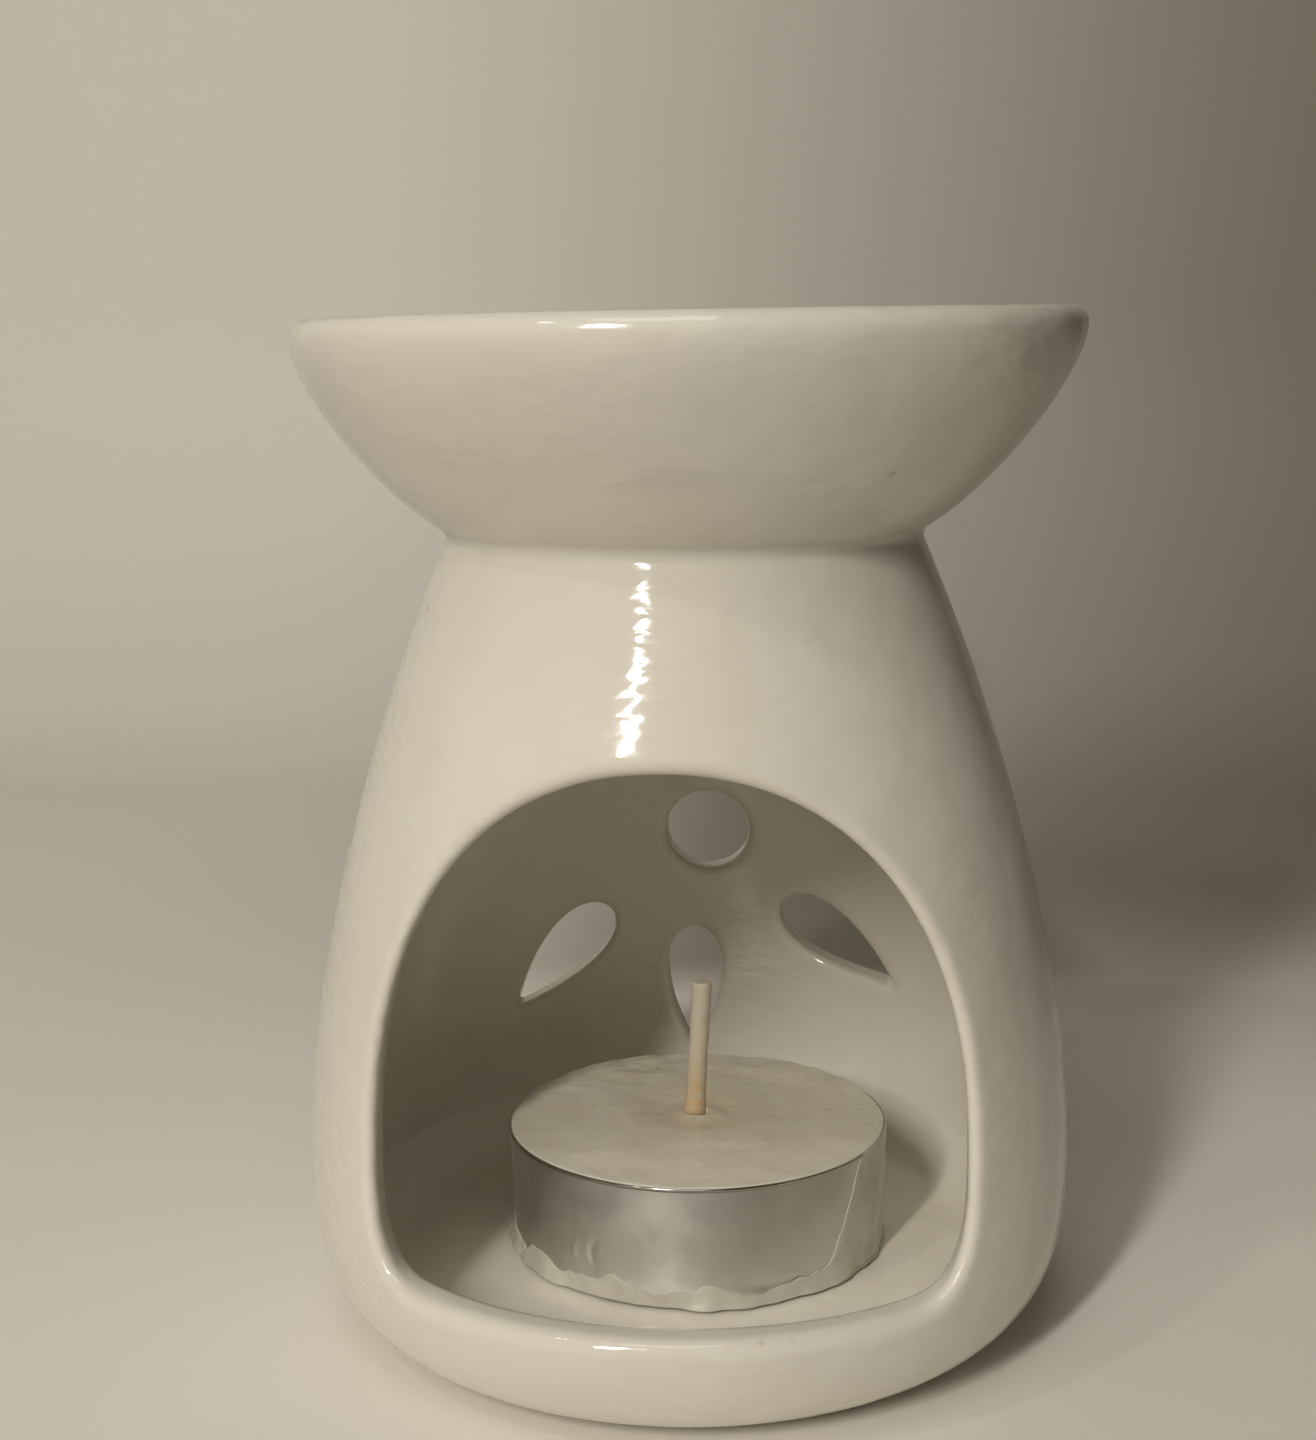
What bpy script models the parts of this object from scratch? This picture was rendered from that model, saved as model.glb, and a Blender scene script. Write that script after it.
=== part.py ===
"""Wax warmer pot: a glazed ceramic fire chamber with a shallow melting dish on top, and a tealight inside.

Units are metres, +Z is up, and the arched opening faces -Y. The origin is the centre of the foot,
in the plane that the pot stands on.
"""

import math

import bmesh
import bpy
from mathutils import Vector

GAP = 0.0003  # clearance kept between pieces that rest on each other

# Fire chamber, outside
FOOT_RADIUS = 0.0225
FOOT_HANDLE = 0.0124  # how far the foot's curve runs out before it turns up
BELLY_RADIUS = 0.03735
BELLY_Z = 0.0165
BELLY_HANDLE_DOWN = 0.0094
BELLY_HANDLE_UP = 0.020
NECK_RADIUS = 0.0225
NECK_Z = 0.0773
NECK_HANDLE = (0.0069, -0.016)

# Fire chamber, inside and underneath
CHAMBER_WALL = 0.0042
FLOOR_Z = 0.0057
RECESS_RADIUS = 0.0185
RECESS_Z = 0.0010
RECESS_SLOPE = 0.0015

# Arched opening, seen from the front: a full half arch over a flat sill with round corners
ARCH_HALF_WIDTH = 0.0264
ARCH_SPRING_Z = 0.025
ARCH_TOP_Z = 0.0594
ARCH_POWER = 2.15
SILL_Z = 0.0124
SILL_CORNER_WIDTH = 0.006
SILL_CORNER_POWER = 3.0
ARCH_CUT = (-0.060, -0.004)  # the cutter's front and back planes, along Y

# Vents through the back wall: a round hole, with three teardrops that point away from it.
# They are cut by hand, so the fan isn't quite symmetric. Each teardrop is its middle's X and Z
# and the direction that its tip points in, as an angle from +X.
ROUND_VENT_RADIUS = 0.0046
ROUND_VENT_Z = 0.0411
DROP_LENGTH = 0.0148
DROP_WIDTH = 0.0061
DROPS = {
    "left_vent_cutter": (-0.0163, 0.0267, math.radians(227)),
    "right_vent_cutter": (0.0147, 0.0287, math.radians(-33)),
    "low_vent_cutter": (-0.0018, 0.0219, math.radians(-91)),
}
VENT_CUT = (0.010, 0.060)

# Melting dish
DISH_SEAT_RADIUS = 0.0223
DISH_SEAT_Z = NECK_Z + GAP
DISH_SEAT_HANDLE = (0.0063, 0.0033)
DISH_RADIUS = 0.0374
DISH_WALL = 0.0032
DISH_FLOOR_Z = DISH_SEAT_Z + 0.0034
LIP_Z = 0.0964  # centre of the round lip
LIP_HANDLE = 0.0045

# Tealight: an aluminium cup with a wax candle
TEALIGHT_X = 0.0007
TEALIGHT_Y = 0.0020
CUP_Z = FLOOR_Z + GAP
CUP_RADIUS = 0.0190
CUP_BASE_RADIUS = 0.0184
CUP_CORNER = 0.0022
CUP_HEIGHT = 0.0120
CUP_WALL = 0.0003
WAX_EDGE_DROP = 0.0004  # below the cup's rim
WAX_DOME = 0.0011

SUSTAINER_RADIUS = 0.0065
SUSTAINER_THICKNESS = 0.0004
COLLAR_WALL = 0.0004
COLLAR_HEIGHT = 0.0040

WICK_RADIUS = 0.0010
WICK_TOP = 0.0261  # above the cup's underside
WICK_LEAN = math.radians(7)

# Mesh fineness
POT_STEPS = 64
CUP_STEPS = 48
SMALL_STEPS = 24
ARCH_STEPS = 32
SILL_CORNER_STEPS = 8
VENT_STEPS = 24
SHARP_ANGLE = math.radians(40)


def bezier(start, start_handle, end_handle, end, count):
    """Points along a cubic Bezier, both ends included."""
    points = []
    for i in range(count):
        t = i / (count - 1)
        s = 1 - t
        weights = (s**3, 3 * s * s * t, 3 * s * t * t, t**3)
        corners = (start, start_handle, end_handle, end)
        points.append(tuple(sum(w * c[k] for w, c in zip(weights, corners)) for k in (0, 1)))
    return points


def arc(centre, radius, first, last, count):
    """Points along a circle's arc from the first to the last angle, in degrees."""
    angles = [math.radians(first + (last - first) * i / (count - 1)) for i in range(count)]
    return [(centre[0] + radius * math.cos(a), centre[1] + radius * math.sin(a)) for a in angles]


def offset(points, distance):
    """The same line moved to its right-hand side, seen along its run."""
    moved = []
    for i, (x, z) in enumerate(points):
        before = points[max(i - 1, 0)]
        after = points[min(i + 1, len(points) - 1)]
        run = Vector((after[0] - before[0], after[1] - before[1])).normalized()
        moved.append((x + run.y * distance, z - run.x * distance))
    return moved


def meet(line, height):
    """The radius where a line's last stretch, carried on, comes down to the height."""
    (before_r, before_z), (last_r, last_z) = line[-2:]
    return last_r - (last_z - height) * (before_r - last_r) / (before_z - last_z)


def turned(name, profile, steps, closed=False):
    """A solid turned about Z from a profile at +X that goes up the inside and down the outside."""
    mesh = bpy.data.meshes.new(name)
    edges = [(i, i + 1) for i in range(len(profile) - 1)]
    if closed:
        edges.append((len(profile) - 1, 0))
    mesh.from_pydata([(x, 0, z) for x, z in profile], edges, [])
    obj = bpy.data.objects.new(name, mesh)
    screw = obj.modifiers.new("turn", "SCREW")
    screw.steps = steps
    screw.render_steps = steps
    screw.use_merge_vertices = True
    screw.merge_threshold = 0.00001
    return obj


def outline_prism(name, outline, planes, collection):
    """A closed outline in the XZ plane, extruded along Y between two planes."""
    front_y, back_y = planes
    curve = bpy.data.curves.new(name, "CURVE")
    curve.dimensions = "2D"
    curve.fill_mode = "BOTH"
    curve.extrude = (back_y - front_y) / 2
    spline = curve.splines.new("POLY")
    spline.points.add(len(outline) - 1)
    for point, (x, z) in zip(spline.points, outline):
        point.co = (x, z, 0, 1)
    spline.use_cyclic_u = True
    drawn = bpy.data.objects.new(name + "_outline", curve)
    collection.objects.link(drawn)
    drawn.location = (0, (front_y + back_y) / 2, 0)
    drawn.rotation_euler = (math.pi / 2, 0, 0)
    bpy.context.view_layer.update()
    graph = bpy.context.evaluated_depsgraph_get()
    mesh = bpy.data.meshes.new_from_object(drawn.evaluated_get(graph))
    solid = bpy.data.objects.new(name, mesh)
    solid.matrix_world = drawn.matrix_world
    bpy.data.objects.remove(drawn)
    weld_and_face_out(mesh)
    return solid


def weld_and_face_out(mesh):
    work = bmesh.new()
    work.from_mesh(mesh)
    bmesh.ops.remove_doubles(work, verts=work.verts, dist=0.000001)
    bmesh.ops.recalc_face_normals(work, faces=work.faces)
    work.to_mesh(mesh)
    work.free()


def material(name, colour, roughness, metallic=0.0):
    made = bpy.data.materials.new(name)
    made.use_nodes = True
    shader = made.node_tree.nodes["Principled BSDF"]
    shader.inputs["Base Color"].default_value = (*colour, 1)
    shader.inputs["Roughness"].default_value = roughness
    shader.inputs["Metallic"].default_value = metallic
    return made


def outer_wall():
    """The fire chamber's outer face, from the neck down to the foot."""
    neck = (NECK_RADIUS, NECK_Z)
    belly = (BELLY_RADIUS, BELLY_Z)
    upper = bezier(
        neck,
        (NECK_RADIUS + NECK_HANDLE[0], NECK_Z + NECK_HANDLE[1]),
        (BELLY_RADIUS, BELLY_Z + BELLY_HANDLE_UP),
        belly,
        15,
    )
    lower = bezier(
        belly,
        (BELLY_RADIUS, BELLY_Z - BELLY_HANDLE_DOWN),
        (FOOT_RADIUS + FOOT_HANDLE, 0),
        (FOOT_RADIUS, 0),
        10,
    )
    return upper + lower[1:]


def arch_outline():
    """The opening's edge, once round from its right spring point over the top."""
    height = ARCH_TOP_Z - ARCH_SPRING_Z
    points = []
    for i in range(ARCH_STEPS + 1):
        angle = math.pi * i / ARCH_STEPS
        across = math.copysign(abs(math.cos(angle)) ** (2 / ARCH_POWER), math.cos(angle))
        up = math.sin(angle) ** (2 / ARCH_POWER)
        points.append((ARCH_HALF_WIDTH * across, ARCH_SPRING_Z + height * up))
    inner = ARCH_HALF_WIDTH - SILL_CORNER_WIDTH
    drop = ARCH_SPRING_Z - SILL_Z
    corner = []
    for i in range(1, SILL_CORNER_STEPS + 1):
        angle = math.pi / 2 * i / SILL_CORNER_STEPS
        across = inner + SILL_CORNER_WIDTH * math.cos(angle) ** (2 / SILL_CORNER_POWER)
        down = ARCH_SPRING_Z - drop * math.sin(angle) ** (2 / SILL_CORNER_POWER)
        corner.append((across, down))
    left = [(-x, z) for x, z in corner]
    return points + left + corner[::-1]


def drop_outline(x, z, direction):
    """A teardrop round its middle, with its tip along the direction."""
    widest = 4 / (3 * math.sqrt(3))  # the largest value of sin(turn) * sin(turn / 2)
    points = []
    for i in range(VENT_STEPS):
        turn = 2 * math.pi * i / VENT_STEPS
        along = DROP_LENGTH / 2 * math.cos(turn)
        across = DROP_WIDTH / 2 / widest * math.sin(turn) * math.sin(turn / 2)
        shift_x = along * math.cos(direction) - across * math.sin(direction)
        shift_z = along * math.sin(direction) + across * math.cos(direction)
        points.append((x + shift_x, z + shift_z))
    return points


def vent_outlines():
    last = 360 - 360 / VENT_STEPS
    outlines = {"round_vent_cutter": arc((0, ROUND_VENT_Z), ROUND_VENT_RADIUS, 0, last, VENT_STEPS)}
    for name, (x, z, direction) in DROPS.items():
        outlines[name] = drop_outline(x, z, direction)
    return outlines


def make_fire_chamber(cutters):
    outer = outer_wall()
    inner = [p for p in offset(outer, CHAMBER_WALL) if p[1] > FLOOR_Z + GAP]
    inner[0] = (inner[0][0], NECK_Z)
    floor = [(0, FLOOR_Z), (meet(inner, FLOOR_Z), FLOOR_Z)]
    under = [(RECESS_RADIUS, 0), (RECESS_RADIUS - RECESS_SLOPE, RECESS_Z), (0, RECESS_Z)]
    chamber = turned("fire_chamber", floor + inner[::-1] + outer + under, POT_STEPS)
    openings = [outline_prism("arch_cutter", arch_outline(), ARCH_CUT, cutters)]
    for name, outline in vent_outlines().items():
        openings.append(outline_prism(name, outline, VENT_CUT, cutters))
    for cutter in openings:
        cutter.hide_render = True
        cutter.display_type = "WIRE"
        cutters.objects.link(cutter)
        cut = chamber.modifiers.new(cutter.name, "BOOLEAN")
        cut.object = cutter
        cut.operation = "DIFFERENCE"
        cut.solver = "EXACT"
    return chamber


def make_melting_dish():
    seat = (DISH_SEAT_RADIUS, DISH_SEAT_Z)
    outer = bezier(
        (DISH_RADIUS, LIP_Z),
        (DISH_RADIUS, LIP_Z - LIP_HANDLE),
        (seat[0] + DISH_SEAT_HANDLE[0], seat[1] + DISH_SEAT_HANDLE[1]),
        seat,
        15,
    )
    inner = [p for p in offset(outer, DISH_WALL) if p[1] > DISH_FLOOR_Z + GAP]
    lip = arc((DISH_RADIUS - DISH_WALL / 2, LIP_Z), DISH_WALL / 2, 180, 0, 9)
    floor = [(0, DISH_FLOOR_Z), (meet(inner, DISH_FLOOR_Z), DISH_FLOOR_Z)]
    return turned("melting_dish", floor + inner[:0:-1] + lip + outer[1:] + [(0, DISH_SEAT_Z)], POT_STEPS)


def make_tealight_cup():
    base = CUP_BASE_RADIUS - CUP_CORNER
    corner = arc((base, CUP_CORNER), CUP_CORNER, 0, -90, 6)
    outer = [(CUP_RADIUS, CUP_HEIGHT)] + corner
    inner_corner = arc((base, CUP_CORNER), CUP_CORNER - CUP_WALL, -90, 0, 6)
    inner = [(0, CUP_WALL)] + inner_corner + [(CUP_RADIUS - CUP_WALL, CUP_HEIGHT)]
    return turned("tealight_cup", inner + outer + [(0, 0)], CUP_STEPS)


def make_candle_wax():
    """The wax, with a bore for the wick and its collar, and a recess for the sustainer's disc."""
    bore = WICK_RADIUS + GAP
    collar_bore = bore + COLLAR_WALL + GAP
    bottom = CUP_WALL + GAP
    disc_top = bottom + SUSTAINER_THICKNESS + GAP
    collar_top = bottom + COLLAR_HEIGHT + GAP
    edge = CUP_RADIUS - CUP_WALL - GAP
    edge_z = CUP_HEIGHT - WAX_EDGE_DROP
    base = CUP_BASE_RADIUS - CUP_WALL - GAP
    dome = []
    for i in range(7):
        share = i / 6
        across = bore + (edge - bore) * share
        dome.append((across, edge_z + WAX_DOME * math.cos(share * math.pi / 2)))
    profile = dome + [
        (base, CUP_CORNER),
        (base - CUP_CORNER / 3, bottom + CUP_CORNER / 4),
        (base - CUP_CORNER, bottom),
        (SUSTAINER_RADIUS + GAP, bottom),
        (SUSTAINER_RADIUS + GAP, disc_top),
        (collar_bore, disc_top),
        (collar_bore, collar_top),
        (bore, collar_top),
    ]
    return turned("candle_wax", profile, CUP_STEPS, closed=True)


def make_wick_sustainer():
    """The pressed metal disc with the collar that holds the wick upright."""
    bottom = CUP_WALL + GAP
    bore = WICK_RADIUS + GAP
    collar = bore + COLLAR_WALL
    profile = [
        (bore, bottom + COLLAR_HEIGHT),
        (collar, bottom + COLLAR_HEIGHT),
        (collar, bottom + SUSTAINER_THICKNESS),
        (SUSTAINER_RADIUS, bottom + SUSTAINER_THICKNESS),
        (SUSTAINER_RADIUS, bottom),
        (bore, bottom),
    ]
    return turned("wick_sustainer", profile, SMALL_STEPS, closed=True)


def make_wick():
    """Straight through the wax, then leaning a little to one side."""
    straight_top = CUP_HEIGHT + WAX_DOME
    bottom = CUP_WALL + GAP
    rise = WICK_TOP - straight_top
    run = [(0, bottom), (0, straight_top)]
    for share in (0.15, 0.4, 0.7, 1.0):
        run.append((rise * share * math.tan(WICK_LEAN) * share, straight_top + rise * share))
    curve = bpy.data.curves.new("wick", "CURVE")
    curve.dimensions = "3D"
    curve.bevel_depth = WICK_RADIUS
    curve.bevel_resolution = 3
    curve.use_fill_caps = True
    spline = curve.splines.new("POLY")
    spline.points.add(len(run) - 1)
    for point, (x, z) in zip(spline.points, run):
        point.co = (x, 0, z, 1)
    return bpy.data.objects.new("wick", curve)


def empty(name, location, collection, parent=None):
    made = bpy.data.objects.new(name, None)
    made.location = location
    made.parent = parent
    collection.objects.link(made)
    return made


def shade_round(obj):
    """Applies the modifiers and shades the mesh smooth, with its real edges kept sharp."""
    bpy.context.view_layer.update()
    graph = bpy.context.evaluated_depsgraph_get()
    mesh = bpy.data.meshes.new_from_object(obj.evaluated_get(graph))
    mesh.name = obj.name
    obj.modifiers.clear()
    obj.data = mesh
    mesh.shade_smooth()
    mesh.set_sharp_from_angle(angle=SHARP_ANGLE)


def place(obj, finish, collection, parent=None):
    obj.parent = parent
    obj.data.materials.append(finish)
    collection.objects.link(obj)
    if obj.type == "MESH":
        shade_round(obj)


def main():
    for obj in list(bpy.data.objects):
        bpy.data.objects.remove(obj)
    scene = bpy.context.scene.collection
    pot = bpy.data.collections.new("wax_warmer_pot")
    cutters = bpy.data.collections.new("cutters")
    scene.children.link(pot)
    scene.children.link(cutters)

    glaze = material("white_glaze", (0.80, 0.76, 0.68), 0.12)
    aluminium = material("tealight_aluminium", (0.62, 0.61, 0.60), 0.32, 1.0)
    wax = material("candle_wax", (0.72, 0.68, 0.58), 0.45)
    cotton = material("waxed_cotton", (0.82, 0.72, 0.55), 0.70)
    steel = material("tinned_steel", (0.55, 0.55, 0.56), 0.35, 1.0)

    place(make_fire_chamber(cutters), glaze, pot)
    place(make_melting_dish(), glaze, pot)
    tealight = empty("tealight", (TEALIGHT_X, TEALIGHT_Y, CUP_Z), pot)
    candle = empty("candle", (0, 0, 0), pot, tealight)
    place(make_tealight_cup(), aluminium, pot, tealight)
    place(make_candle_wax(), wax, pot, candle)
    place(make_wick_sustainer(), steel, pot, candle)
    place(make_wick(), cotton, pot, candle)


main()
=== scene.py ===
"""Looks for the wax warmer pot: two glazed castings, a tealight, a floor, lights and a camera.

Everything is in metres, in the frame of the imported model: +Z is up, the arched opening faces -Y, and
the pot stands on z = 0. The ceramic is one smooth surface, made as a distance field and then parted
at the neck into the fire chamber and the melting dish, so that the glaze runs on over the joint.
"""

import math

import bmesh
import bpy
import numpy as np
from mathutils import Matrix, Vector, noise


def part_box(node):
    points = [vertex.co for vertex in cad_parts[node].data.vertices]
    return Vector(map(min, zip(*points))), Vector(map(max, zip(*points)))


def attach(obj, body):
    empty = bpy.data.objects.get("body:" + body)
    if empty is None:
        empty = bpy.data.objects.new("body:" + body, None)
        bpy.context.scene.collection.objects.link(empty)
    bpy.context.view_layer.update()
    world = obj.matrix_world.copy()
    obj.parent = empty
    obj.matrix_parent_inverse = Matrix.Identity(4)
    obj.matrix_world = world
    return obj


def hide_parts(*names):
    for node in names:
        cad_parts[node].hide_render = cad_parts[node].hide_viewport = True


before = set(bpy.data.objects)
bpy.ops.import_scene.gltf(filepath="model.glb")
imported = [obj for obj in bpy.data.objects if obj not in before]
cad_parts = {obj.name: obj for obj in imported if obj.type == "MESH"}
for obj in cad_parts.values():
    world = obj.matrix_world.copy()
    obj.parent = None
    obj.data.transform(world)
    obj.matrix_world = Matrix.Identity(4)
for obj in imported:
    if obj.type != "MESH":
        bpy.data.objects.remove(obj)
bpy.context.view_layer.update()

MM = 0.001
CHAMBER_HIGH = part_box("fire_chamber")[1]
DISH_LOW, DISH_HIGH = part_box("melting_dish")
CUP_LOW, CUP_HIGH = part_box("tealight_cup")
WAX_LOW, WAX_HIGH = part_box("candle_wax")
WICK_LOW, WICK_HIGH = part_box("wick")
DISC_LOW, DISC_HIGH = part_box("wick_sustainer")

# Fire chamber
NECK_RADIUS = 22.5 * MM
NECK_Z = CHAMBER_HIGH.z
NECK_HANDLE = (6.9 * MM, -16 * MM)
BELLY_RADIUS = CHAMBER_HIGH.x
BELLY_Z = 16.5 * MM
BELLY_HANDLES = (9.4 * MM, 20 * MM)  # below and above the widest point
FOOT_RADIUS = 22.5 * MM
FOOT_HANDLE = 12.4 * MM
CHAMBER_WALL = 4.2 * MM
FLOOR_Z = 5.7 * MM
RECESS_RADIUS = 18.5 * MM
RECESS_Z = 1.0 * MM
RECESS_SLOPE = 1.5 * MM
FLOOR_FILLET = 5.0 * MM  # where glaze has gathered round the floor

# Arched opening
ARCH_HALF_WIDTH = 26.4 * MM
ARCH_SPRING_Z = 25 * MM
ARCH_TOP_Z = 59.4 * MM
ARCH_POWER = 2.15
SILL_Z = 12.4 * MM
SILL_CORNER_WIDTH = 6 * MM
SILL_CORNER_POWER = 3.0
ARCH_BACK_Y = -4 * MM
ARCH_EDGE = 1.5 * MM  # radius of the glazed edge

# Vents in the back wall: each teardrop is its middle's X and Z and its tip's direction
ROUND_VENT = (0, 41.1 * MM, 4.6 * MM)
DROP_LENGTH = 14.8 * MM
DROP_WIDTH = 6.1 * MM
DROPS = (
    (-16.3 * MM, 26.7 * MM, math.radians(227)),
    (14.7 * MM, 28.7 * MM, math.radians(-33)),
    (-1.8 * MM, 21.9 * MM, math.radians(-91)),
)
VENT_FRONT_Y = 10 * MM
VENT_EDGE = 0.8 * MM

# Melting dish
SEAT_RADIUS = 22.3 * MM
SEAT_Z = DISH_LOW.z
SEAT_HANDLE = (6.3 * MM, 3.3 * MM)
DISH_RADIUS = DISH_HIGH.x
DISH_WALL = 3.2 * MM
DISH_FLOOR_Z = SEAT_Z + 3.4 * MM
LIP_Z = DISH_HIGH.z - DISH_WALL / 2
LIP_HANDLE = 4.5 * MM
DISH_FILLET = 3.0 * MM
NECK_FILLET = 0.9 * MM  # the slip and glaze in the crease between dish and chamber
NECK_OVERLAP = 1.5 * MM

# How the kiln left the pot
DISH_TILT = math.radians(0.35)
RIM_DROOP = 0.4 * MM
RIM_DRAWN_IN = 0.9 * MM
RIPPLE = 0.018 * MM
RIPPLE_LENGTH = 6.5 * MM

# Tealight cup, with heights above its underside
CUP_X = (CUP_LOW.x + CUP_HIGH.x) / 2
CUP_Y = (CUP_LOW.y + CUP_HIGH.y) / 2
CUP_RADIUS = (CUP_HIGH.x - CUP_LOW.x) / 2
CUP_HEIGHT = CUP_HIGH.z - CUP_LOW.z
CUP_BASE_RADIUS = 18.5 * MM
CUP_CORNER = 1.2 * MM
CUP_SHEET = 0.16 * MM
CUP_CREASES = 0.25 * MM
RIM_Z = CUP_HEIGHT - 0.05 * MM
RIM_ROLL = 0.14 * MM

# Its crescent dents: angle from -Y, height, half-width, half-height and depth, or a bulge where negative
CUP_DENTS = (
    (math.radians(-26), 4.3 * MM, math.radians(3.0), 1.0 * MM, 0.16 * MM),
    (math.radians(-33), 4.0 * MM, math.radians(2.4), 0.8 * MM, -0.10 * MM),
    (math.radians(-2), 3.6 * MM, math.radians(3.6), 1.2 * MM, 0.035 * MM),
    (math.radians(-6), 7.6 * MM, math.radians(5.0), 1.6 * MM, 0.035 * MM),
)

# Wax that ran over the rim on the right, and set in a skirt round the base
SPILL_FROM = (math.radians(45), math.radians(62))
SPILL_TO = (math.radians(95), math.radians(120))
SPILL_THICKNESS = 0.05 * MM
SPILL_TUCK = 0.012 * MM  # how far its top edge lies inside the cup's wall
SPILL_ROWS = 22
SKIRT_HEIGHT = 1.8 * MM
SKIRT_UNEVEN = 1.1 * MM
SKIRT_LIMITS = (0.9 * MM, 2.8 * MM)
SKIRT_FLARE = (0.28 * MM, 0.75 * MM, 0.9 * MM)  # mean, unevenness and largest

# Wax and wick
WAX_TOP = CUP_HEIGHT - 0.02 * MM
WAX_SWELL = 0.55 * MM
WAX_LUMP = 0.5 * MM
BORE_RADIUS = 1.14 * MM
DISC_PLAY = 0.3 * MM
WICK_FOOT = (CUP_X, CUP_Y, WAX_HIGH.z)
WICK_RADIUS = 1.0 * MM
WICK_ROOT_X = CUP_X - 0.2 * MM
WICK_TIP_X = WICK_HIGH.x - 2.0 * MM
WICK_PLAY = 0.1 * MM  # how much shorter than the CAD wick it is at each end

# Mesh fineness
TABLE_STEP = 0.15 * MM
CELL = 0.62 * MM
MARGIN = 3 * MM
SETTLING_ROUNDS = 8
CUP_COLUMNS = 540
WAX_COLUMNS = 240
WICK_COLUMNS = 24
WICK_ROWS = 90

# Colours, as linear red, green and blue
GLAZE_CREAM = (0.775, 0.74, 0.655)
GLAZE_MILK = (0.80, 0.77, 0.69)
GLAZE_IVORY = (0.74, 0.70, 0.62)
# the glaze's colour in the crease between dish and chamber, painted greyer
GLAZE_NECK_CREASE = (0.66, 0.64, 0.56)
GLAZE_THIN = (0.76, 0.70, 0.60)
IRON_SPECK = (0.30, 0.22, 0.14)
BARE_CLAY = (0.72, 0.64, 0.52)
SHEET_DARK = (0.68, 0.66, 0.63)
SHEET_PALE = (0.74, 0.72, 0.69)
# painted dark reflection on the cup's rolled rim
SHEET_RIM_PAINTED_DARK = (0.50, 0.485, 0.46)
WAX_DARK = (0.74, 0.70, 0.59)
WAX_PALE = (0.81, 0.77, 0.66)
THIN_WAX_DARK = (0.50, 0.475, 0.41)
THIN_WAX_PALE = (0.62, 0.595, 0.52)
WAX_STAIN = (0.66, 0.54, 0.36)
WAX_PIT = (0.46, 0.44, 0.36)
COTTON = (0.62, 0.57, 0.47)
COTTON_STAIN = (0.64, 0.44, 0.22)
TIN_DARK = (0.50, 0.50, 0.50)
TIN_PALE = (0.60, 0.60, 0.59)
FLOOR_PALE = (0.87, 0.84, 0.78)
# the next two colours are painted shade on the floor and on the wall
FLOOR_PAINTED_SHADE = (0.30, 0.27, 0.225)
WALL_PAINTED_SHADE = (0.04, 0.037, 0.033)
LAMP_COLOUR = (1.0, 0.945, 0.85)
ROOM_COLOUR = (0.95, 0.85, 0.72)


# ------------------------------------------------------------------ outlines


def bezier(start, start_handle, end_handle, end, count):
    t = np.linspace(0, 1, count)[:, None]
    s = 1 - t
    start, start_handle, end_handle, end = map(np.array, (start, start_handle, end_handle, end))
    return s**3 * start + 3 * s * s * t * start_handle + 3 * s * t * t * end_handle + t**3 * end


def arc(centre, radius, first, last, count):
    """Points along a circle's arc from the first to the last angle, in degrees."""
    angle = np.radians(np.linspace(first, last, count))
    return np.stack([centre[0] + radius * np.cos(angle), centre[1] + radius * np.sin(angle)], 1)


def offset(line, distance):
    """The line moved to its right-hand side, seen along its run."""
    run = np.gradient(line, axis=0)
    run = run / np.linalg.norm(run, axis=1)[:, None]
    return line + distance * np.stack([run[:, 1], -run[:, 0]], 1)


def mirrored(right_side):
    """A closed outline from its right half, whose first and last points are on the axis."""
    left_side = right_side[-2:0:-1] * (-1, 1)
    return np.concatenate([right_side, left_side])


def with_fillet(wall, floor, size):
    """An inner wall that runs down to a flat floor, with glaze gathered in the corner."""
    corner = (wall[-1, 0], floor)
    above = wall[wall[:, 1] > floor + size]
    round_corner = bezier(above[-1], corner, corner, (corner[0] - size, floor), 12)
    return np.concatenate([above, round_corner[1:]])


def chamber_outline():
    """The chamber's section: a U whose neck reaches up into the dish's base."""
    neck = (NECK_RADIUS, NECK_Z)
    neck_handle = (NECK_RADIUS + NECK_HANDLE[0], NECK_Z + NECK_HANDLE[1])
    belly = (BELLY_RADIUS, BELLY_Z)
    above = bezier(neck, neck_handle, (BELLY_RADIUS, BELLY_Z + BELLY_HANDLES[1]), belly, 50)
    below_handles = ((BELLY_RADIUS, BELLY_Z - BELLY_HANDLES[0]), (FOOT_RADIUS + FOOT_HANDLE, 0))
    below = bezier(belly, *below_handles, (FOOT_RADIUS, 0), 30)
    outer = np.concatenate([above, below[1:]])
    inner = offset(outer, CHAMBER_WALL)
    inner = inner[inner[:, 1] > FLOOR_Z]
    inner = with_fillet(inner, FLOOR_Z, FLOOR_FILLET)
    top = NECK_Z + NECK_OVERLAP
    under = [(RECESS_RADIUS, 0), (RECESS_RADIUS - RECESS_SLOPE, RECESS_Z), (0, RECESS_Z)]
    inside = np.concatenate([[(0, FLOOR_Z)], inner[::-1], [(inner[0, 0], top)]])
    outside = np.concatenate([[(NECK_RADIUS, top)], outer, under])
    return mirrored(np.concatenate([inside, outside]))


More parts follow.
